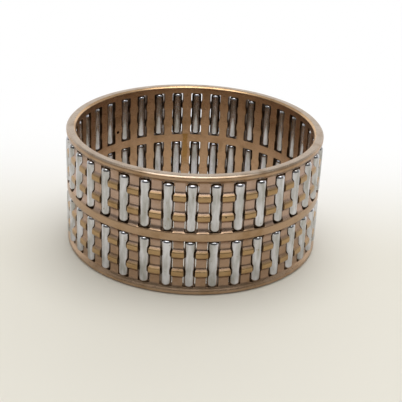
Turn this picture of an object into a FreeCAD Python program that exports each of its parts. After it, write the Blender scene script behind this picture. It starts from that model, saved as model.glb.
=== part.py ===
import FreeCAD, Part
import math
import os
import re
import Sketcher

# Needle roller and cage assembly with two rows of rollers, for a 68 mm shaft raceway and a
# 74 mm housing raceway. One bronze-coloured steel cage holds every roller in a pocket of its own.
# Frame: millimetres, +Z along the bearing's axis, origin at the middle of the lower end face.
# The bodies are drawn about the cage's mid-plane, then lifted by half of the cage's width.

os.makedirs("parts", exist_ok=True)
doc = FreeCAD.newDocument("needle_roller_bearing")

# Driving dimensions: alias, value in millimetres (the roller count is a plain number), meaning.
DRIVING = (
    ("shaft_circle_dia", 68.0, "circle that touches the rollers from inside"),
    ("roller_dia", 3.0, "needle roller diameter"),
    ("roller_length", 13.8, "needle roller length over its rounded ends"),
    ("roller_end_round", 1.0, "rounding radius of a roller's ends"),
    ("rollers_per_row", 36, "rollers in each of the two rows"),
    ("cage_skin_gap", 0.15, "cage surfaces set back from the two roller circles"),
    ("pocket_end_gap", 0.15, "free length at each end of a roller"),
    ("window_side_gap", 0.30, "free width at each side of a roller in the open windows"),
    ("seat_gap", 0.10, "running gap between a roller and its retaining lips"),
    ("lip_reach", 0.80, "radial distance from the roller's axis to the lip tips"),
    ("lip_flare", 0.15, "how far a lip opens from its tip to the cage's surface"),
    ("rim_width", 2.2, "end rim, from the end face to the pockets"),
    ("rim_band", 1.5, "part of a rim that has the full diameter"),
    ("rib_width", 2.4, "middle rib between the two rows"),
    ("flat_depth", 0.85, "how far the bars' flats lie below the rims"),
    ("ridge_offset", 2.8, "ridge centre, from the middle of its row"),
    ("ridge_face", 1.3, "width of a ridge's outer face"),
    ("ridge_flank", 0.6, "axial length of a ridge's sloping flank"),
    ("rim_chamfer", 0.30, "chamfer on the corners of the rims"),
    ("rib_chamfer", 0.12, "broken edge of the rib and of the rims beside the pockets"),
)

# Sizes that follow from the driving dimensions, in the order in which they build on each other.
DERIVED = (
    ("roller_radius", "roller_dia / 2"),
    ("pitch_radius", "shaft_circle_dia / 2 + roller_dia / 2"),
    ("bore_radius", "shaft_circle_dia / 2 + cage_skin_gap"),
    ("cage_radius", "shaft_circle_dia / 2 + roller_dia - cage_skin_gap"),
    ("flat_radius", "cage_radius - flat_depth"),
    ("pocket_length", "roller_length + 2 * pocket_end_gap"),
    ("row_height", "(rib_width + pocket_length) / 2"),
    ("half_width", "rib_width / 2 + pocket_length + rim_width"),
    ("window_half", "roller_radius + window_side_gap"),
    ("seat_radius", "roller_radius + seat_gap"),
    ("lip_half", "sqrt(seat_radius ^ 2 - lip_reach ^ 2)"),
    ("mouth_half", "lip_half + lip_flare"),
    ("ridge_far", "ridge_offset + ridge_face / 2"),
    ("ridge_near", "ridge_offset - ridge_face / 2"),
    ("crease_far", "ridge_far + ridge_flank"),
    ("crease_near", "ridge_near - ridge_flank"),
)

ALIAS_PATTERN = r"\b(%s)\b" % "|".join(entry[0] for entry in DRIVING + DERIVED)
FULL_TURN = 360.0
TOUCH = 1e-6
SEW_TOLERANCE = 1e-5


def sized(formula):
    """Return a formula as an expression in which each alias reads its cell of the sheet."""
    return re.sub(ALIAS_PATTERN, r"dims.\1", formula)


def build_sheet():
    """Write the driving and derived sizes to the spreadsheet, each with its alias."""
    sheet = doc.addObject("Spreadsheet::Sheet", "dims")
    for row, (alias, value, meaning) in enumerate(DRIVING, start=1):
        sheet.set("A%d" % row, meaning)
        sheet.set("B%d" % row, str(value))
        sheet.setAlias("B%d" % row, alias)
    for row, (alias, formula) in enumerate(DERIVED, start=len(DRIVING) + 1):
        sheet.set("A%d" % row, alias.replace("_", " "))
        sheet.set("B%d" % row, "=" + formula)
        sheet.setAlias("B%d" % row, alias)
        doc.recompute()
    return sheet


def origin_part(body, role):
    """Return the body's own origin plane or axis that has this role."""
    return next(item for item in body.Origin.OriginFeatures if item.Role == role)


def new_body(name):
    """Add a body whose origin plane is lifted to the cage's mid-plane."""
    body = doc.addObject("PartDesign::Body", name)
    body.Label = name
    body.setExpression("Placement.Base.z", sized("half_width"))
    return body


def new_sketch(body, name, plane):
    """Add a sketch on one of the body's own origin planes."""
    sketch = body.newObject("Sketcher::SketchObject", name)
    sketch.AttachmentSupport = [(origin_part(body, plane), "")]
    sketch.MapMode = "FlatFace"
    return sketch


def corner(along, across):
    """Describe a corner that a straight line leads to."""
    return {"point": (along, across)}


def arc_corner(along, across, centre_along, centre_across, radius):
    """Describe a corner that an arc about the given centre leads to."""
    return {"point": (along, across), "centre": (centre_along, centre_across), "radius": radius}


def mirrored(corners):
    """Return the corners with the second coordinate's sign turned, in the opposite order."""
    return [corner(along, "-(%s)" % across) for along, across in
            (entry["point"] for entry in reversed(corners))]


def value_of(sketch, formula):
    """Work a formula out with the sheet's present values."""
    return float(sketch.evalExpression(sized(formula)))


def position_of(sketch, pair):
    """Return a pair of formulas as a point in the sketch."""
    return FreeCAD.Vector(value_of(sketch, pair[0]), value_of(sketch, pair[1]), 0)


def pin_vertex(sketch, edge, vertex, pair):
    """Hold one vertex of the sketch at the place that two formulas give."""
    for kind, formula in zip(("DistanceX", "DistanceY"), pair):
        held = Sketcher.Constraint(kind, -1, 1, edge, vertex, value_of(sketch, formula))
        index = sketch.addConstraint(held)
        sketch.setExpression("Constraints[%d]" % index, sized(formula))


def add_outline(sketch, corners):
    """Draw one closed outline through the corners and bind every size of it to the sheet."""
    edges = []
    for here, entry in zip(corners[-1:] + corners[:-1], corners):
        start = position_of(sketch, here["point"])
        end = position_of(sketch, entry["point"])
        if "centre" not in entry:
            edges.append((sketch.addGeometry(Part.LineSegment(start, end)), 1, 2))
            continue
        centre = position_of(sketch, entry["centre"])
        first, last = start - centre, end - centre
        forward = first.x * last.y - first.y * last.x > 0
        low, high = (first, last) if forward else (last, first)
        circle = Part.Circle(centre, FreeCAD.Vector(0, 0, 1), first.Length)
        arc = Part.ArcOfCircle(circle, math.atan2(low.y, low.x), math.atan2(high.y, high.x))
        edge = sketch.addGeometry(arc)
        edges.append((edge, 1, 2) if forward else (edge, 2, 1))
        index = sketch.addConstraint(Sketcher.Constraint("Radius", edge, first.Length))
        sketch.setExpression("Constraints[%d]" % index, sized(entry["radius"]))
    for (edge, first, last), (follower, joined, _), entry in zip(edges, edges[1:] + edges[:1], corners):
        sketch.addConstraint(Sketcher.Constraint("Coincident", edge, last, follower, joined))
        pin_vertex(sketch, edge, last, entry["point"])


def half_profile():
    """Return the upper half of the cage ring's section as (radius, height) corners."""
    ridges = [
        ("flat_radius", "row_height + crease_far"),
        ("cage_radius", "row_height + ridge_far"),
        ("cage_radius", "row_height + ridge_near"),
        ("flat_radius", "row_height + crease_near"),
        ("flat_radius", "row_height - crease_near"),
        ("cage_radius", "row_height - ridge_near"),
        ("cage_radius", "row_height - ridge_far"),
        ("flat_radius", "row_height - crease_far"),
    ]
    rim = [
        ("bore_radius", "half_width - rim_chamfer"),
        ("bore_radius + rim_chamfer", "half_width"),
        ("cage_radius - rim_chamfer", "half_width"),
        ("cage_radius", "half_width - rim_chamfer"),
        ("cage_radius", "half_width - rim_band"),
        ("flat_radius", "half_width - rim_width"),
    ]
    rib = [
        ("flat_radius", "rib_width / 2"),
        ("cage_radius - rib_chamfer", "rib_width / 2"),
        ("cage_radius", "rib_width / 2 - rib_chamfer"),
    ]
    return [corner(radius, height) for radius, height in rim + ridges + rib]


def channel_outline():
    """Return the cross-section of a pocket where its lips hold the roller."""
    upper = [
        corner("cage_radius + roller_radius", "mouth_half"),
        corner("cage_radius", "mouth_half"),
        corner("pitch_radius + lip_reach", "lip_half"),
        arc_corner("pitch_radius - lip_reach", "lip_half", "pitch_radius", "0", "seat_radius"),
        corner("bore_radius", "mouth_half"),
        corner("bore_radius - roller_radius", "mouth_half"),
    ]
    lower = mirrored(upper)
    lower[3] = arc_corner("pitch_radius + lip_reach", "-lip_half", "pitch_radius", "0", "seat_radius")
    return upper + lower


def window_outlines():
    """Return the three open windows of a pocket as (across, height) corners about its row."""
    end = "pocket_length / 2"
    far_window = [
        corner("window_half", end),
        corner("window_half", "crease_far"),
        corner("lip_half", "ridge_far"),
    ]
    outer = far_window + [corner("-(%s)" % across, height) for across, height in
                          (entry["point"] for entry in reversed(far_window))]
    inner_side = [
        corner("lip_half", "ridge_near"),
        corner("window_half", "crease_near"),
        corner("window_half", "-crease_near"),
        corner("lip_half", "-ridge_near"),
    ]
    inner = inner_side + [corner("-(%s)" % across, height) for across, height in
                          (entry["point"] for entry in reversed(inner_side))]
    return [outer, inner, mirrored(outer)]


def build_cage_sector():
    """Build the piece of the cage's upper half that holds one pocket, from bar middle to bar middle."""
    body = doc.addObject("PartDesign::Body", "cage_sector")
    profile = new_sketch(body, "cage_profile", "XZ_Plane")
    mid_plane = [corner("cage_radius", "0"), corner("bore_radius", "0")]
    add_outline(profile, half_profile() + mid_plane)
    ring = body.newObject("PartDesign::Revolution", "sector_ring")
    ring.Profile = profile
    ring.ReferenceAxis = (profile, ["V_Axis"])
    ring.Midplane = True
    ring.setExpression("Angle", sized("%g / rollers_per_row" % FULL_TURN))

    channel = new_sketch(body, "pocket_channel", "XY_Plane")
    channel.setExpression("AttachmentOffset.Base.z", sized("row_height"))
    add_outline(channel, channel_outline())
    channel_cut = body.newObject("PartDesign::Pocket", "channel_cut")
    channel_cut.Profile = channel
    channel_cut.Midplane = True
    channel_cut.setExpression("Length", sized("pocket_length"))

    windows = new_sketch(body, "pocket_windows", "YZ_Plane")
    windows.setExpression("AttachmentOffset.Base.y", sized("row_height"))
    for outline in window_outlines():
        add_outline(windows, outline)
    window_cut = body.newObject("PartDesign::Pocket", "window_cut")
    window_cut.Profile = windows
    window_cut.Reversed = True
    window_cut.setExpression("Length", sized("cage_radius + roller_radius"))
    body.Tip = window_cut
    return body


def skin_of(sector, half_angle):
    """Return the sector's outside faces, without the three planes along which it is joined."""
    skin = []
    for face in sector.Faces:
        centre = face.CenterOfMass
        off_mid_plane = abs(centre.z) > TOUCH
        off_sides = abs(abs(math.atan2(centre.y, centre.x)) - half_angle) > TOUCH
        if off_mid_plane and off_sides:
            skin.append(face)
    return Part.Compound(skin)


def build_cage(sector, count):
    """Join the sector's copies, above and below the mid-plane, into the one-piece cage."""
    middle = FreeCAD.Vector(0, 0, 0)
    axis = FreeCAD.Vector(0, 0, 1)
    upper = skin_of(sector, math.pi / count)
    faces = []
    for half in (upper, upper.mirror(middle, axis)):
        for index in range(count):
            placed = half.copy()
            placed.rotate(middle, axis, index * FULL_TURN / count)
            faces.extend(placed.Faces)
    joined = Part.Compound(faces)
    joined.sewShape(SEW_TOLERANCE)
    solid = Part.Solid(joined.Shells[0])
    if solid.Volume < 0:
        solid.reverse()
    cage = doc.addObject("Part::Feature", "cage")
    cage.Label = "cage"
    cage.Shape = solid.removeSplitter()
    cage.setExpression("Placement.Base.z", sized("half_width"))
    return cage


def roller_outline(centre_height):
    """Return half of a needle roller's lengthwise section, about the row at the given height."""
    top = "%s + roller_length / 2" % centre_height
    bottom = "%s - roller_length / 2" % centre_height
    end_flat = "roller_radius - roller_end_round"
    shoulder_top = top + " - roller_end_round"
    shoulder_bottom = bottom + " + roller_end_round"
    return [
        corner("0", bottom),
        corner(end_flat, bottom),
        arc_corner("roller_radius", shoulder_bottom, end_flat, shoulder_bottom, "roller_end_round"),
        corner("roller_radius", shoulder_top),
        arc_corner(end_flat, top, end_flat, shoulder_top, "roller_end_round"),
        corner("0", top),
    ]


def build_needle_pair(index, count):
    """Build the upper and the lower roller that share one axis at this place around the cage."""
    body = new_body("needle_pair_%02d" % (index + 1))
    body.AllowCompound = True
    section = new_sketch(body, body.Name + "_section", "XZ_Plane")
    section.setExpression("AttachmentOffset.Base.x", sized("pitch_radius"))
    add_outline(section, roller_outline("row_height"))
    add_outline(section, roller_outline("-row_height"))
    rollers = body.newObject("PartDesign::Revolution", body.Name + "_rollers")
    rollers.Profile = section
    rollers.ReferenceAxis = (section, ["V_Axis"])
    rollers.Angle = FULL_TURN
    body.Tip = rollers
    if index:
        body.Placement.Rotation = FreeCAD.Rotation(FreeCAD.Vector(0, 0, 1), index * FULL_TURN / count)
        turned = "%g * %d / rollers_per_row" % (FULL_TURN, index)
        body.setExpression("Placement.Rotation.Angle", sized(turned))
    return body


def check_document(nodes):
    """Stop before anything is written if an object failed or a node is not a sound solid."""
    for item in doc.Objects:
        if "Invalid" in item.State or "Error" in item.State:
            raise RuntimeError("%s failed: %s" % (item.Name, item.State))
    for node in nodes:
        if node.Shape.isNull() or not node.Shape.isValid():
            raise RuntimeError("%s has no valid shape" % node.Label)


sheet = build_sheet()
count = int(sheet.rollers_per_row)
sector = build_cage_sector()
doc.recompute()
nodes = [build_cage(sector.Shape, count)] + [build_needle_pair(index, count) for index in range(count)]
doc.recompute()
check_document(nodes)
for node in nodes:
    node.Shape.exportStep("parts/%s.step" % node.Label)
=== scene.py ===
"""Needle roller bearing: the looks of a double-row needle roller and cage assembly."""

import logging
import math
from dataclasses import dataclass
from enum import Enum

import bmesh
import bpy
from mathutils import Matrix, Vector

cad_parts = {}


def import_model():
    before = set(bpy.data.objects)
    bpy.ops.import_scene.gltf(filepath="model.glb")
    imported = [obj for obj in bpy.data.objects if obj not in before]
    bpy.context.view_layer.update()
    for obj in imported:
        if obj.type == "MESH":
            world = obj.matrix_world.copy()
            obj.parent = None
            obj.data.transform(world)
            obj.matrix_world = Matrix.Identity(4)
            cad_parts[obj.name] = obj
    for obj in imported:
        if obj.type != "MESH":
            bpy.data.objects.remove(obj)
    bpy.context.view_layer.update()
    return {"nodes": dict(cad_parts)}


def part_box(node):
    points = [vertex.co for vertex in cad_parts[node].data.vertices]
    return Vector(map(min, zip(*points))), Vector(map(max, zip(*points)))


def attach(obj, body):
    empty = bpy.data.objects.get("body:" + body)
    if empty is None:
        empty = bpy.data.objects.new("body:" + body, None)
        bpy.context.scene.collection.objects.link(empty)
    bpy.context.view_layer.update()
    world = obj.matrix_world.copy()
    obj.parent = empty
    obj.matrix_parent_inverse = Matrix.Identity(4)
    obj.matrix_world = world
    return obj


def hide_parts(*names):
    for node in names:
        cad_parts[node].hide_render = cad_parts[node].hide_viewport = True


LOG = logging.getLogger("needle_roller_bearing")
MM = 0.001


class Slot(Enum):
    """Material slot names."""

    CAGE = "cage_steel"
    ROLLER = "bearing_steel"


def srgb(code: str) -> tuple[float, float, float, float]:
    """Turn an sRGB hex colour into linear RGBA.

    Args:
        code: six hex digits, such as "b98a62".

    Returns:
        The linear colour with an alpha of one.
    """
    channels = []
    for start in (0, 2, 4):
        value = int(code[start:start + 2], 16) / 255.0
        linear = value / 12.92 if value <= 0.04045 else ((value + 0.055) / 1.055) ** 2.4
        channels.append(linear)
    return (channels[0], channels[1], channels[2], 1.0)


class NodeTree:
    """Adds shader nodes with their settings and links in one call each."""

    def __init__(self, tree: bpy.types.NodeTree) -> None:
        """Empty the tree and keep it.

        Args:
            tree: the node tree of a material or of the world.
        """
        self.tree = tree
        self.tree.nodes.clear()

    def add(self, kind: str, settings: dict | None = None, inputs: dict | None = None) -> bpy.types.Node:
        """Add one node.

        Args:
            kind: the node's type name.
            settings: attributes to set on the node.
            inputs: socket name or number to a value, or to another node's output socket.

        Returns:
            The new node.
        """
        node = self.tree.nodes.new(kind)
        for name, value in (settings or {}).items():
            setattr(node, name, value)
        for name, value in (inputs or {}).items():
            socket = node.inputs[name]
            if isinstance(value, bpy.types.NodeSocket):
                self.tree.links.new(value, socket)
            else:
                socket.default_value = value
        return node

    def maths(self, operation: str, first: bpy.types.NodeSocket | float,
              second: bpy.types.NodeSocket | float = 0.0) -> bpy.types.NodeSocket:
        """Add a Math node.

        Args:
            operation: what it does, such as "MULTIPLY".
            first: its first value or socket.
            second: its second value or socket.

        Returns:
            The result's socket.
        """
        return self.add("ShaderNodeMath", {"operation": operation}, {0: first, 1: second}).outputs["Value"]

    def mixed(self, share: bpy.types.NodeSocket, first: bpy.types.NodeSocket | tuple,
              second: bpy.types.NodeSocket | tuple) -> bpy.types.NodeSocket:
        """Mix two colours.

        Args:
            share: how much of the second colour shows.
            first: a colour or a socket.
            second: a colour or a socket.

        Returns:
            The mixed colour's socket.
        """
        node = self.add("ShaderNodeMix", {"data_type": "RGBA"}, {"Factor": share, 6: first, 7: second})
        return node.outputs[2]


@dataclass(frozen=True)
class CageFinish:
    """Bronze-coloured plating on rolled steel strip.

    Handling leaves the ridges golden, the rib and rims a little greyer, and the flats between them pinkish.
    Painted shade darkens and browns the lower flats. The bore stays redder, with an ochre run of dried oil down
    one bar.
    """

    name: str = "bronze plated steel strip"
    band: str = "af9378"
    ridge: str = "ae9069"
    flat: str = "b69c8c"
    bore: str = "c3a07f"
    end_face: str = "b2a18f"
    # A painted highlight for the bore's edges at both ends.
    painted_edge_highlight: str = "cfac84"
    # A brown for real random stains, also used as painted shade on the lower flats.
    stain_and_shade: str = "8a6a44"
    dried_oil: str = "aa8350"
    speck: str = "2a1d14"
    roughness: float = 0.30
    grain_mm: float = 0.12
    stain_mm: float = 5.0
    land_radius: float = 36.70 * MM
    flat_radius: float = 36.15 * MM
    bore_radius: float = 34.40 * MM
    middle: float = 17.5 * MM
    flats_reach: float = 15.3 * MM
    # Painted shade: the flats darken toward the bottom between these heights.
    shade_starts_below: float = 19.0 * MM
    shade_full_below: float = 8.0 * MM
    most_shade: float = 0.5
    row_middle: float = 8.2 * MM
    ridges_reach: float = 4.5 * MM
    face_height: float = 17.20 * MM
    edge_height: float = 16.95 * MM
    edge_radius: float = 34.70 * MM
    specks: tuple[tuple[float, float, float, float], ...] = (
        (135.3, 34.15, 22.3, 0.50), (284.2, 36.80, 23.3, 0.22))
    run_angle: float = math.radians(95.6)
    run_half: float = 0.95 * MM
    run_top: float = 19.0 * MM
    run_end: float = 7.5 * MM

    def build(self) -> bpy.types.Material:
        """Make the material.

        Returns:
            The finished material.
        """
        material = bpy.data.materials.new(self.name)
        material.use_nodes = True
        nodes = NodeTree(material.node_tree)
        place = nodes.add("ShaderNodeTexCoord").outputs["Object"]
        parts = nodes.add("ShaderNodeSeparateXYZ", {}, {"Vector": place})
        level = nodes.add("ShaderNodeVectorMath", {"operation": "MULTIPLY"}, {0: place, 1: (1.0, 1.0, 0.0)})
        radius = nodes.add("ShaderNodeVectorMath", {"operation": "LENGTH"}, {
            0: level.outputs["Vector"]}).outputs["Value"]
        off_middle = nodes.maths("ABSOLUTE", nodes.maths("SUBTRACT", parts.outputs["Z"], self.middle))
        below = nodes.add("ShaderNodeMapRange", {}, {
            "Value": radius, "From Min": self.land_radius, "From Max": self.flat_radius})
        recess = nodes.maths("MULTIPLY", below.outputs["Result"],
                             nodes.maths("LESS_THAN", off_middle, self.flats_reach))
        off_row = nodes.maths("ABSOLUTE", nodes.maths("SUBTRACT", off_middle, self.row_middle))
        colour = nodes.mixed(nodes.maths("LESS_THAN", off_row, self.ridges_reach),
                             srgb(self.band), srgb(self.ridge))
        colour = nodes.mixed(recess, colour, srgb(self.flat))
        # Painted shade: the flats grow darker and browner toward the bottom.
        painted_shade = nodes.add("ShaderNodeMapRange", {}, {
            "Value": parts.outputs["Z"], "From Min": self.shade_starts_below, "From Max": self.shade_full_below,
            "To Max": self.most_shade})
        colour = nodes.mixed(nodes.maths("MULTIPLY", recess, painted_shade.outputs["Result"]), colour, srgb(self.stain_and_shade))
        colour = nodes.mixed(nodes.maths("LESS_THAN", radius, self.bore_radius), colour, srgb(self.bore))
        colour = nodes.mixed(nodes.maths("GREATER_THAN", off_middle, self.face_height),
                             colour, srgb(self.end_face))
        # Painted highlight: the bore's edges at both ends are lightened.
        inner_edge = nodes.maths("MULTIPLY", nodes.maths("GREATER_THAN", off_middle, self.edge_height),
                                 nodes.maths("LESS_THAN", radius, self.edge_radius))
        colour = nodes.mixed(inner_edge, colour, srgb(self.painted_edge_highlight))
        stains = nodes.add("ShaderNodeTexNoise", {}, {
            "Vector": place, "Scale": 1.0 / (self.stain_mm * MM), "Detail": 5.0, "Roughness": 0.55})
        tone = nodes.add("ShaderNodeMapRange", {}, {
            "Value": stains.outputs["Fac"], "From Min": 0.48, "From Max": 0.72, "To Min": 0.0, "To Max": 0.6})
        colour = nodes.mixed(tone.outputs["Result"], colour, srgb(self.stain_and_shade))
        colour = nodes.mixed(self.add_run(nodes, parts, radius, stains.outputs["Fac"]),
                             colour, srgb(self.dried_oil))
        for angle, reach, height, size in self.specks:
            turn = math.radians(angle)
            centre = (reach * MM * math.cos(turn), reach * MM * math.sin(turn), height * MM)
            apart = nodes.add("ShaderNodeVectorMath", {"operation": "DISTANCE"}, {0: place, 1: centre})
            colour = nodes.mixed(nodes.maths("LESS_THAN", apart.outputs["Value"], size * MM),
                                 colour, srgb(self.speck))
        stretch = nodes.add("ShaderNodeMapping", {}, {"Vector": place, "Scale": (1.0, 1.0, 14.0)})
        grain = nodes.add("ShaderNodeTexNoise", {}, {
            "Vector": stretch.outputs["Vector"], "Scale": 1.0 / (self.grain_mm * MM * 10.0),
            "Detail": 4.0, "Roughness": 0.6})
        rough = nodes.add("ShaderNodeMapRange", {}, {
            "Value": grain.outputs["Fac"], "From Min": 0.3, "From Max": 0.7,
            "To Min": self.roughness - 0.06, "To Max": self.roughness + 0.08})
        bump = nodes.add("ShaderNodeBump", {}, {
            "Height": grain.outputs["Fac"], "Strength": 0.25, "Distance": 0.01 * MM})
        shader = nodes.add("ShaderNodeBsdfPrincipled", {}, {
            "Base Color": colour, "Metallic": 1.0,
            "Roughness": rough.outputs["Result"], "Normal": bump.outputs["Normal"]})
        nodes.add("ShaderNodeOutputMaterial", {}, {"Surface": shader.outputs["BSDF"]})
        return material

    def add_run(self, nodes: NodeTree, parts: bpy.types.Node, radius: bpy.types.NodeSocket,
                waver: bpy.types.NodeSocket) -> bpy.types.NodeSocket:
        """Mask the run of dried oil down one bar of the bore.

        Args:
            nodes: the material's nodes.
            parts: the node that gives the place's X, Y and Z.
            radius: the distance from the cage's axis.
            waver: a noise that makes the run's edges uneven.

        Returns:
            The mask, one on the run.
        """
        turn = nodes.maths("ARCTAN2", parts.outputs["Y"], parts.outputs["X"])
        aside = nodes.maths("MULTIPLY", nodes.maths("SUBTRACT", turn, self.run_angle), radius)
        width = nodes.maths("MULTIPLY", waver, self.run_half * 2.0)
        past_edge = nodes.maths("SUBTRACT", nodes.maths("ABSOLUTE", aside), width)
        narrow = nodes.add("ShaderNodeMapRange", {"interpolation_type": "SMOOTHSTEP"}, {
            "Value": past_edge, "From Min": self.run_half * 0.4, "From Max": self.run_half * -0.4})
        inner = nodes.maths("LESS_THAN", radius, self.bore_radius)
        below_top = nodes.maths("LESS_THAN", parts.outputs["Z"], self.run_top)
        thinning = nodes.add("ShaderNodeMapRange", {}, {
            "Value": parts.outputs["Z"], "From Min": self.run_end, "From Max": self.run_end * 1.5})
        length = nodes.maths("MULTIPLY", below_top, thinning.outputs["Result"])
        return nodes.maths("MULTIPLY", inner, nodes.maths("MULTIPLY", narrow.outputs["Result"], length))


@dataclass(frozen=True)
class WallFinish:
    """Punched pocket walls: the same plating over a torn edge, darkened all over with painted shade."""

    name: str = "punched steel edge with painted shade"
    # Both colours are darker than the plating: painted shade in the pockets.
    colour: str = "83674b"
    painted_shade: str = "4a3726"
    roughness: float = 0.42
    tear_mm: float = 0.35

    def build(self) -> bpy.types.Material:
        """Make the material.

        Returns:
            The finished material.
        """
        material = bpy.data.materials.new(self.name)
        material.use_nodes = True
        nodes = NodeTree(material.node_tree)
        place = nodes.add("ShaderNodeTexCoord")
        tears = nodes.add("ShaderNodeTexNoise", {}, {
            "Vector": place.outputs["Object"], "Scale": 1.0 / (self.tear_mm * MM),
            "Detail": 3.0, "Roughness": 0.6})
        # Painted shade: the torn pattern mixes two dark shades of the wall.
        colour = nodes.add("ShaderNodeMix", {"data_type": "RGBA"}, {
            "Factor": tears.outputs["Fac"], 6: srgb(self.colour), 7: srgb(self.painted_shade)})
        bump = nodes.add("ShaderNodeBump", {}, {
            "Height": tears.outputs["Fac"], "Strength": 0.3, "Distance": 0.02 * MM})
        shader = nodes.add("ShaderNodeBsdfPrincipled", {}, {
            "Base Color": colour.outputs[2], "Metallic": 1.0, "Roughness": self.roughness,
            "Normal": bump.outputs["Normal"]})
        nodes.add("ShaderNodeOutputMaterial", {}, {"Surface": shader.outputs["BSDF"]})
        return material


@dataclass(frozen=True)
class RollerFinish:
    """Hardened bearing steel, ground and polished, under a thin uneven film of oil with a few dried spots; the
    film's lighter and darker lengthwise streaks are also painted reflection.
    """

    name: str = "ground bearing steel"
    colour: str = "d6d6dc"
    # Darker grey of the streaks: partly oil film, partly painted reflection.
    film_and_sheen: str = "aaa9a6"
    dried_oil: str = "8d7a58"
    roughness: float = 0.10
    film_and_sheen_mm: float = 1.6
    spot_mm: float = 0.9

    def build(self) -> bpy.types.Material:
        """Make the material.

        Returns:
            The finished material.
        """
        material = bpy.data.materials.new(self.name)
        material.use_nodes = True
        nodes = NodeTree(material.node_tree)
        place = nodes.add("ShaderNodeTexCoord").outputs["Object"]
        # Lengthwise streaks of lighter and darker grey: partly oil film, partly painted reflection.
        stretch = nodes.add("ShaderNodeMapping", {}, {"Vector": place, "Scale": (1.0, 1.0, 0.25)})
        film_and_sheen = nodes.add("ShaderNodeTexNoise", {}, {
            "Vector": stretch.outputs["Vector"], "Scale": 1.0 / (self.film_and_sheen_mm * MM),
            "Detail": 4.0, "Roughness": 0.55})
        film_and_sheen_share = nodes.add("ShaderNodeMapRange", {}, {
            "Value": film_and_sheen.outputs["Fac"], "From Min": 0.36, "From Max": 0.64})
        colour = nodes.mixed(film_and_sheen_share.outputs["Result"], srgb(self.colour), srgb(self.film_and_sheen))
        spots = nodes.add("ShaderNodeTexNoise", {}, {
            "Vector": place, "Scale": 1.0 / (self.spot_mm * MM), "Detail": 2.0, "Roughness": 0.5})
        spotted = nodes.add("ShaderNodeMapRange", {}, {
            "Value": spots.outputs["Fac"], "From Min": 0.68, "From Max": 0.76, "To Min": 0.0, "To Max": 0.7})
        colour = nodes.mixed(spotted.outputs["Result"], colour, srgb(self.dried_oil))
        rough = nodes.add("ShaderNodeMapRange", {}, {
            "Value": film_and_sheen.outputs["Fac"], "From Min": 0.3, "From Max": 0.7,
            "To Min": self.roughness - 0.04, "To Max": self.roughness + 0.08})
        shader = nodes.add("ShaderNodeBsdfPrincipled", {}, {
            "Base Color": colour, "Metallic": 1.0, "Roughness": rough.outputs["Result"]})
        nodes.add("ShaderNodeOutputMaterial", {}, {"Surface": shader.outputs["BSDF"]})
        return material


@dataclass(frozen=True)
class RollerSizes:
    """A roller pair as the frame gives it: two coaxial needle rollers at one place around the cage."""

    pitch_radius: float
    radius: float
    low: float
    high: float
    length: float = 13.8 * MM
    end_round: float = 1.0 * MM

    @staticmethod
    def from_frame(node: str) -> "RollerSizes":
        """Read the sizes from the pair that stands on the X axis.

        Args:
            node: the name of that pair's CAD node.

        Returns:
            The sizes in metres.
        """
        low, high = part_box(node)
        return RollerSizes((low.x + high.x) / 2.0, (high.x - low.x) / 2.0, low.z, high.z)

    @property
    def row_middles(self) -> tuple[float, float]:
        """Return the heights of the lower and the upper row's middle."""
        return self.low + self.length / 2.0, self.high - self.length / 2.0


def finish_mesh(bm: bmesh.types.BMesh, name: str, sharp_angle: float) -> bpy.types.Object:
    """Turn a bmesh into a smooth-shaded object at the origin.

    Args:
        bm: the finished shape, which is freed.
        name: the new object's name.
        sharp_angle: edges that turn by more than this stay sharp.

    Returns:
        The new object, linked to the scene.
    """
    mesh = bpy.data.meshes.new(name)
    bm.to_mesh(mesh)
    bm.free()
    mesh.shade_smooth()
    mesh.set_sharp_from_angle(angle=sharp_angle)
    piece = bpy.data.objects.new(name, mesh)
    bpy.context.scene.collection.objects.link(piece)
    return piece


def wire(bm: bmesh.types.BMesh, corners: list[tuple[float, float]]) -> list[bmesh.types.BMVert]:
    """Draw an open line through (radius, height) corners in the XZ plane.

    Args:
        bm: the bmesh to draw in.
        corners: the line's corners in order.

    Returns:
        The new vertices in order.
    """
    verts = [bm.verts.new((radius, 0.0, height)) for radius, height in corners]
    for first, second in zip(verts, verts[1:]):
        bm.edges.new((first, second))
    return verts


def round_corners(bm: bmesh.types.BMesh, verts: list[bmesh.types.BMVert], size: float, segments: int) -> None:
    """Round corners of a drawn line.

    Args:
        bm: the bmesh that holds the line.
        verts: the corners to round.
        size: how far the rounding reaches along each side of a corner.
        segments: straight pieces in each rounding.
    """
    bmesh.ops.bevel(bm, geom=verts, offset=size, offset_type="OFFSET", segments=segments,
                    profile=0.5, affect="VERTICES", material=-1, clamp_overlap=True)


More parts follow.
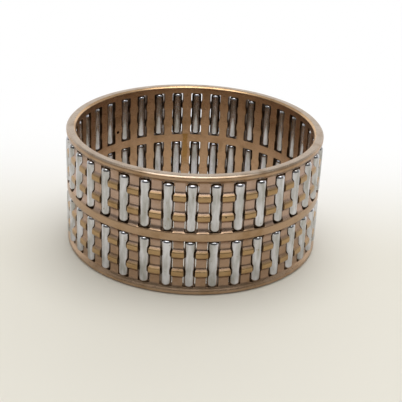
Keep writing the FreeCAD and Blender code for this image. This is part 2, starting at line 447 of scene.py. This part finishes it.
@dataclass
class Rollers:
    """The needle rollers, one piece for each coaxial pair, each on its own body."""

    sizes: RollerSizes
    count: int
    around: int = 28
    end_segments: int = 6

    def shape(self, turn: float) -> bmesh.types.BMesh:
        """Model one pair.

        Args:
            turn: the pair's angle about the bearing's axis.

        Returns:
            Two closed rollers in one bmesh.
        """
        bm = bmesh.new()
        half = self.sizes.length / 2.0
        for middle in self.sizes.row_middles:
            line = wire(bm, [(0.0, middle - half), (self.sizes.radius, middle - half),
                             (self.sizes.radius, middle + half), (0.0, middle + half)])
            round_corners(bm, line[1:3], self.sizes.end_round, self.end_segments)
        bmesh.ops.spin(bm, geom=bm.verts[:] + bm.edges[:], cent=(0.0, 0.0, 0.0), axis=(0.0, 0.0, 1.0),
                       angle=math.tau, steps=self.around, use_merge=True)
        bmesh.ops.remove_doubles(bm, verts=bm.verts[:], dist=MM / 1000.0)
        bmesh.ops.recalc_face_normals(bm, faces=bm.faces[:])
        bmesh.ops.translate(bm, verts=bm.verts[:], vec=(self.sizes.pitch_radius, 0.0, 0.0))
        bmesh.ops.rotate(bm, verts=bm.verts[:], cent=(0.0, 0.0, 0.0), matrix=Matrix.Rotation(turn, 3, "Z"))
        return bm

    def build(self, material: bpy.types.Material) -> None:
        """Model and dress every pair and put each on its body.

        Args:
            material: the rollers' finish.
        """
        for index in range(self.count):
            number = "%02d" % (index + 1)
            piece = finish_mesh(self.shape(math.tau * index / self.count), "needle_rollers_" + number,
                                math.radians(50.0))
            piece.data.materials.append(material)
            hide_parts("needle_pair_" + number)
            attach(piece, "rollers_" + number)
            LOG.info("built %s", piece.name)


@dataclass
class Cage:
    """The one-piece cage: two rims, a middle rib and bars whose ridges and lips hold the rollers.

    One quarter of a pocket's sector is modelled, then mirrored twice and repeated around the axis.
    Heights are measured from the cage's mid-plane until the shape is finished.
    """

    rollers: RollerSizes
    count: int
    outer_radius: float
    width: float
    bore_radius: float = 34.15 * MM
    flat_depth: float = 0.85 * MM
    rim_width: float = 2.2 * MM
    rim_band: float = 1.25 * MM
    rib_land: float = 2.16 * MM
    rib_slope: float = 0.95 * MM
    ridge_offset: float = 2.8 * MM
    ridge_face: float = 1.35 * MM
    ridge_flank: float = 0.8 * MM
    end_gap: float = 0.15 * MM
    side_gap: float = 0.22 * MM
    seat_gap: float = 0.10 * MM
    lip_reach: float = 0.80 * MM
    lip_flare: float = 0.12 * MM
    corner_round: float = 0.40 * MM
    edge_break: float = 0.06 * MM
    land_round: float = 0.14 * MM
    crease_round: float = 0.34 * MM
    rib_crease_round: float = 0.75 * MM
    rim_chamfer: float = 0.48 * MM
    chamfer_round: float = 0.10 * MM

    def __post_init__(self) -> None:
        """Work out the sizes that follow from the fields."""
        self.flat_radius = self.outer_radius - self.flat_depth
        self.half_width = self.width / 2.0
        low, high = self.rollers.row_middles
        self.row_height = (high - low) / 2.0
        self.pocket_half = self.rollers.length / 2.0 + self.end_gap
        self.window_half = self.rollers.radius + self.side_gap
        self.seat_radius = self.rollers.radius + self.seat_gap
        self.lip_half = math.sqrt(self.seat_radius ** 2 - self.lip_reach ** 2)
        self.mouth_half = self.lip_half + self.lip_flare

    def outside_line(self) -> list[tuple[float, float]]:
        """Return the corners of the upper half's outside line, from the mid-plane up to the end face."""
        land, flat = self.outer_radius, self.flat_radius
        near = self.ridge_offset - self.ridge_face / 2.0
        far = self.ridge_offset + self.ridge_face / 2.0
        row, flank = self.row_height, self.ridge_flank
        return [
            (land, 0.0),
            (land, self.rib_land / 2.0),
            (flat, self.rib_land / 2.0 + self.rib_slope),
            (flat, row - far - flank),
            (land, row - far),
            (land, row - near),
            (flat, row - near + flank),
            (flat, row + near - flank),
            (land, row + near),
            (land, row + far),
            (flat, row + far + flank),
            (flat, self.half_width - self.rim_width),
            (land, self.half_width - self.rim_band),
            (land, self.half_width - self.rim_chamfer),
            (land - self.rim_chamfer, self.half_width),
            (land - 2.0 * self.rim_chamfer, self.half_width),
        ]

    def draw_lines(self, bm: bmesh.types.BMesh) -> None:
        """Draw the outside line with its roundings, and the bore's line with the same heights.

        Args:
            bm: the bmesh to draw in.
        """
        line = wire(bm, self.outside_line())
        lands = [vert for vert in line[1:-3] if vert.co.x > self.outer_radius - self.edge_break]
        low = [vert for vert in line[1:-3] if vert.co.x < self.flat_radius + self.edge_break]
        round_corners(bm, line[-3:-1], self.chamfer_round, 2)
        round_corners(bm, lands, self.land_round, 2)
        round_corners(bm, [low[0], low[-1]], self.rib_crease_round, 4)
        round_corners(bm, low[1:-1], self.crease_round, 2)
        for height in self.corner_heights():
            bmesh.ops.bisect_plane(bm, geom=bm.verts[:] + bm.edges[:], plane_co=(0.0, 0.0, height),
                                   plane_no=(0.0, 0.0, 1.0))
        bmesh.ops.remove_doubles(bm, verts=bm.verts[:], dist=MM / 100.0)
        copied = bmesh.ops.duplicate(bm, geom=bm.verts[:] + bm.edges[:])["geom"]
        shoulder = self.half_width - self.rim_chamfer - self.chamfer_round
        for vert in (item for item in copied if isinstance(item, bmesh.types.BMVert)):
            vert.co.x = self.bore_radius + (self.outer_radius - vert.co.x if vert.co.z > shoulder else 0.0)

    def corner_heights(self) -> list[float]:
        """Return the heights at which a pocket's rounded corners need a row of points."""
        steps = (0.0, 0.12, 0.45, 1.0)
        heights = []
        for step in steps:
            inset = self.pocket_half - step * self.corner_round
            heights += [self.row_height - inset, self.row_height + inset]
        return heights

    def hold(self, height: float) -> float:
        """Return how much of a lip a height has: one on a ridge, none in the open windows."""
        off_ridge = abs(abs(height - self.row_height) - self.ridge_offset) - self.ridge_face / 2.0
        share = min(max(1.0 - off_ridge / self.ridge_flank, 0.0), 1.0)
        return share * share * (3.0 - 2.0 * share)

    def corner_inset(self, height: float) -> float:
        """Return how far the rounded corners of a pocket's ends narrow it at a height."""
        left = self.pocket_half - abs(height - self.row_height)
        missing = min(max(1.0 - left / self.corner_round, 0.0), 1.0)
        return self.corner_round * (1.0 - math.sqrt(1.0 - missing * missing))

    def wall_line(self, height: float, outside: float) -> list[tuple[float, float]]:
        """Return a pocket's side from its outer edge to the bore, as (across, radius) points.

        Args:
            height: the height of the row of points.
            outside: the cage's outside radius there.

        Returns:
            The points, with the same count at every height.
        """
        edge, pitch, bore = self.edge_break, self.rollers.pitch_radius, self.bore_radius
        upper, lower = outside - edge, bore + edge
        window = [(self.window_half + edge, outside), (self.window_half, upper)]
        window += [(self.window_half, upper + (lower - upper) * step / 5.0) for step in range(1, 5)]
        window += [(self.window_half, lower), (self.window_half + edge, bore)]
        slope = math.asin(self.lip_reach / self.seat_radius)
        seat = [(self.seat_radius * math.cos(turn), pitch + self.seat_radius * math.sin(turn))
                for turn in (slope, slope / 3.0, -slope / 3.0, -slope)]
        lip = [(self.mouth_half + edge, outside), (self.mouth_half, upper)] + seat
        lip += [(self.mouth_half, lower), (self.mouth_half + edge, bore)]
        share, inset = self.hold(height), self.corner_inset(height)
        return [(open_across + (held_across - open_across) * share - inset,
                 open_radius + (held_radius - open_radius) * share)
                for (open_across, open_radius), (held_across, held_radius) in zip(window, lip)]

    def place(self, column: int, height: float, radius: float, edge: float) -> Vector:
        """Place one point of the quarter sector.

        Args:
            column: 0 in the pocket's middle, 2 on its edge, 4 in the bar's middle.
            height: the point's height.
            radius: its distance from the axis.
            edge: how far the pocket's edge lies from the pocket's middle.

        Returns:
            The point's position.
        """
        if column <= 2:
            across = edge * column / 2.0
            return Vector((math.sqrt(radius ** 2 - across ** 2), across, height))
        start = math.asin(edge / radius)
        turn = start + (math.pi / self.count - start) * (column - 2) / 2.0
        return Vector((radius * math.cos(turn), radius * math.sin(turn), height))

    def quarter(self) -> bmesh.types.BMesh:
        """Model a quarter of one pocket's sector: half of the pocket and half of a bar, upper half only.

        Returns:
            The open quarter, with its pocket walls as the second material.
        """
        bm = bmesh.new()
        self.draw_lines(bm)
        step = math.pi / self.count / 4.0
        bmesh.ops.spin(bm, geom=bm.verts[:] + bm.edges[:], cent=(0.0, 0.0, 0.0), axis=(0.0, 0.0, 1.0),
                       angle=4.0 * step, steps=4)
        column_of = bm.verts.layers.int.new("column")
        height_of = bm.verts.layers.float.new("height")
        outside_of = bm.verts.layers.float.new("outside")
        for vert in bm.verts:
            radius = math.hypot(vert.co.x, vert.co.y)
            is_outside = radius > self.rollers.pitch_radius
            vert[column_of] = round(math.atan2(vert.co.y, vert.co.x) / step)
            vert[height_of] = vert.co.z
            vert[outside_of] = radius if is_outside else 0.0
            edge = self.wall_line(vert.co.z, radius)[0 if is_outside else -1][0]
            vert.co = self.place(vert[column_of], vert.co.z, radius, edge)
        top = [item for item in bm.edges if item.is_boundary and
               item.verts[0][column_of] != item.verts[1][column_of] and
               all(vert.co.z > self.half_width - MM / 1000.0 for vert in item.verts)]
        bmesh.ops.bridge_loops(bm, edges=top)
        pocket = [face for face in bm.faces if max(vert[column_of] for vert in face.verts) <= 2 and
                  abs(face.calc_center_median().z - self.row_height) < self.pocket_half]
        bmesh.ops.delete(bm, geom=pocket, context="FACES")
        self.add_walls(bm)
        return bm

    def add_walls(self, bm: bmesh.types.BMesh) -> None:
        """Draw the pocket's side and end walls in from its outer edge to the bore.

        Args:
            bm: the quarter sector with its pocket cut out of the outside and the bore.
        """
        column_of = bm.verts.layers.int["column"]
        height_of = bm.verts.layers.float["height"]
        outside_of = bm.verts.layers.float["outside"]
        reach = self.pocket_half + MM / 1000.0

        def on_rim(edge: bmesh.types.BMEdge) -> bool:
            """Return whether an edge lies on the pocket's outer rim."""
            ends = edge.verts
            inside = all(abs(vert[height_of] - self.row_height) < reach for vert in ends)
            at_side = all(vert[column_of] == 2 for vert in ends)
            at_end = ends[0][height_of] == ends[1][height_of]
            return edge.is_boundary and inside and (at_side or at_end) and all(vert[outside_of] for vert in ends)

        chain = [edge for edge in bm.edges if on_rim(edge)]
        for level in range(1, 8):
            drawn = bmesh.ops.extrude_edge_only(bm, edges=chain)["geom"]
            chain = [item for item in drawn if isinstance(item, bmesh.types.BMEdge)]
            for vert in (item for item in drawn if isinstance(item, bmesh.types.BMVert)):
                height = vert[height_of]
                across, radius = self.wall_line(height, vert[outside_of])[level]
                off_row = height - self.row_height
                at_end = abs(off_row) > self.pocket_half - MM / 1000.0 and level < 7
                inward = math.copysign(self.edge_break, off_row) if at_end else 0.0
                vert.co = self.place(vert[column_of], height - inward, radius, across)
            for face in (item for item in drawn if isinstance(item, bmesh.types.BMFace)):
                face.material_index = 1
        bmesh.ops.remove_doubles(bm, verts=bm.verts[:], dist=MM / 1000.0)

    def shape(self) -> bmesh.types.BMesh:
        """Model the whole cage from mirrored and repeated quarters.

        Returns:
            One closed shape that stands on the floor.
        """
        bm = self.quarter()
        for axis in ("Y", "Z"):
            bmesh.ops.mirror(bm, geom=bm.verts[:] + bm.edges[:] + bm.faces[:], merge_dist=MM / 1000.0, axis=axis)
        bmesh.ops.spin(bm, geom=bm.verts[:] + bm.edges[:] + bm.faces[:], cent=(0.0, 0.0, 0.0),
                       axis=(0.0, 0.0, 1.0), angle=math.tau * (self.count - 1) / self.count,
                       steps=self.count - 1, use_duplicate=True)
        bmesh.ops.remove_doubles(bm, verts=bm.verts[:], dist=MM / 500.0)
        bmesh.ops.recalc_face_normals(bm, faces=bm.faces[:])
        bmesh.ops.translate(bm, verts=bm.verts[:], vec=(0.0, 0.0, self.half_width))
        return bm

    def build(self, materials: tuple[bpy.types.Material, bpy.types.Material]) -> None:
        """Model and dress the cage and put it on its body.

        Args:
            materials: the plated surface's finish and the pocket walls' finish.
        """
        piece = finish_mesh(self.shape(), "cage_shell", math.radians(32.0))
        for material in materials:
            piece.data.materials.append(material)
        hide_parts("cage")
        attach(piece, "cage_body")
        LOG.info("built %s", piece.name)


@dataclass
class Studio:
    """Pale floor, soft light and the camera."""

    focal_mm: float = 90.6
    sensor_mm: float = 36.0
    distance: float = 301.3 * MM
    pitch: float = math.radians(25.2)
    roll: float = math.radians(2.49)
    turn: float = math.radians(-0.4)
    aim: tuple[float, float, float] = (2.56 * MM, 0.0, 11.0 * MM)
    floor_size: float = 6.0
    fill_light: float = 0.60
    front_light: float = 0.15
    lamp_light: float = 4.2
    ceiling_light: float = 0.50
    back_light: float = 1.15
    lamp_rise: tuple[float, float] = (math.radians(55.0), math.radians(62.0))
    lamp_set: tuple[float, float] = (math.radians(76.0), math.radians(86.0))
    lamp_side: tuple[float, float] = (0.35, 0.62)
    back_rise: tuple[float, float] = (math.radians(138.0), math.radians(151.0))

    def add_camera(self) -> None:
        """Place the camera and make it the scene's own."""
        side = Vector((1.0, 0.0, 0.0))
        ahead = Vector((0.0, math.cos(self.pitch), -math.sin(self.pitch)))
        above = Vector((0.0, math.sin(self.pitch), math.cos(self.pitch)))
        right = math.cos(self.roll) * side + math.sin(self.roll) * above
        up = -math.sin(self.roll) * side + math.cos(self.roll) * above
        spin = Matrix.Rotation(self.turn, 3, "Z")
        right, up, ahead = spin @ right, spin @ up, spin @ ahead
        place = spin @ Vector(self.aim) - self.distance * ahead
        lens = bpy.data.cameras.new("camera")
        lens.sensor_width = self.sensor_mm
        lens.lens = self.focal_mm
        lens.clip_start = 0.01
        lens.clip_end = 50.0
        camera = bpy.data.objects.new("camera", lens)
        bpy.context.scene.collection.objects.link(camera)
        axes = Matrix((right, up, -ahead)).transposed().to_4x4()
        camera.matrix_world = Matrix.Translation(place) @ axes
        bpy.context.scene.camera = camera

    def add_floor(self) -> None:
        """Add the pale floor under the bearing: cream in front, fading to white further back."""
        bpy.ops.mesh.primitive_plane_add(size=self.floor_size, location=(0.0, 0.0, 0.0))
        floor = bpy.context.active_object
        floor.name = "floor"
        material = bpy.data.materials.new("pale floor")
        material.use_nodes = True
        nodes = NodeTree(material.node_tree)
        place = nodes.add("ShaderNodeTexCoord")
        parts = nodes.add("ShaderNodeSeparateXYZ", {}, {"Vector": place.outputs["Object"]})
        back = nodes.add("ShaderNodeMapRange", {"interpolation_type": "SMOOTHSTEP"}, {
            "Value": parts.outputs["Y"], "From Min": -0.02, "From Max": 0.12,
            "To Min": 0.0, "To Max": 1.0})
        tint = nodes.add("ShaderNodeMix", {"data_type": "RGBA"}, {
            "Factor": back.outputs["Result"], 6: srgb("e9e5d9"), 7: srgb("ffffff")})
        shader = nodes.add("ShaderNodeBsdfPrincipled", {}, {
            "Base Color": tint.outputs[2], "Roughness": 0.7})
        white = nodes.add("ShaderNodeEmission", {}, {"Color": srgb("ffffff"), "Strength": 1.0})
        path = nodes.add("ShaderNodeLightPath")
        shown = nodes.maths("MAXIMUM", path.outputs["Is Camera Ray"], path.outputs["Is Glossy Ray"])
        surface = nodes.add("ShaderNodeMixShader", {}, {
            0: nodes.maths("MULTIPLY", back.outputs["Result"], shown),
            1: shader.outputs["BSDF"], 2: white.outputs["Emission"]})
        nodes.add("ShaderNodeOutputMaterial", {}, {"Surface": surface.outputs["Shader"]})
        floor.data.materials.append(material)

    def add_light(self, name: str, place: tuple, size: tuple, power: float) -> None:
        """Add one soft rectangular light that faces the bearing.

        Args:
            name: the light's name.
            place: its position in metres.
            size: its width and height in metres.
            power: its power in watts.
        """
        lamp = bpy.data.lights.new(name, "AREA")
        lamp.shape = "RECTANGLE"
        lamp.size, lamp.size_y = size
        lamp.energy = power
        light = bpy.data.objects.new(name, lamp)
        bpy.context.scene.collection.objects.link(light)
        light.location = place
        towards = Vector((0.0, 0.0, 0.02)) - Vector(place)
        light.rotation_euler = towards.to_track_quat("-Z", "Y").to_euler()
        light.visible_glossy = False

    def add_world(self) -> None:
        """Surround the bearing with even pale light.

        Its metal sees a white room whose front and ceiling are dimmer, with a bright lamp high in front.
        """
        world = bpy.data.worlds.new("studio")
        bpy.context.scene.world = world
        world.use_nodes = True
        nodes = NodeTree(world.node_tree)
        path = nodes.add("ShaderNodeLightPath")
        place = nodes.add("ShaderNodeTexCoord")
        parts = nodes.add("ShaderNodeSeparateXYZ", {}, {"Vector": place.outputs["Generated"]})
        climb = nodes.maths("ARCTAN2", parts.outputs["Z"], nodes.maths("MULTIPLY", parts.outputs["Y"], -1.0))
        aside = nodes.maths("ABSOLUTE", parts.outputs["X"])
        level = self.lamp_light
        for place, span, light in ((aside, self.lamp_side, self.ceiling_light),
                                   (climb, self.lamp_rise[::-1], self.front_light),
                                   (climb, self.lamp_set, self.ceiling_light),
                                   (climb, self.back_rise, self.back_light)):
            step = nodes.add("ShaderNodeMapRange", {"interpolation_type": "SMOOTHSTEP"}, {
                "Value": place, "From Min": span[0], "From Max": span[1]})
            level = nodes.add("ShaderNodeMix", {"data_type": "FLOAT"}, {
                "Factor": step.outputs["Result"], 2: level, 3: light}).outputs[0]
        soft = nodes.add("ShaderNodeMix", {"data_type": "FLOAT"}, {
            "Factor": path.outputs["Is Glossy Ray"], 2: self.fill_light, 3: level})
        back = nodes.add("ShaderNodeBackground", {}, {
            "Color": srgb("ffffff"), "Strength": soft.outputs[0]})
        nodes.add("ShaderNodeOutputWorld", {}, {"Surface": back.outputs["Background"]})

    def build(self) -> None:
        """Set the whole stage."""
        self.add_camera()
        self.add_floor()
        self.add_world()
        self.add_light("overhead", (0.05, 0.05, 0.60), (0.50, 0.50), 1.7)
        self.add_light("rear", (0.10, 0.50, 0.35), (0.60, 0.25), 0.5)


def main() -> None:
    """Build the scene in order and report each part."""
    logging.basicConfig(level=logging.INFO, format="%(name)s: %(message)s")
    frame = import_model()
    count = sum(1 for name in frame["nodes"] if name.startswith("needle_pair_"))
    rollers = RollerSizes.from_frame("needle_pair_01")
    low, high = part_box("cage")
    cage = Cage(rollers, count, (high.x - low.x) / 2.0, high.z - low.z)
    cage.build((CageFinish().build(), WallFinish().build()))
    Rollers(rollers, count).build(RollerFinish().build())
    Studio().build()
    scene = bpy.context.scene
    scene.view_settings.view_transform = "Standard"


if __name__ == "__main__":
    main()
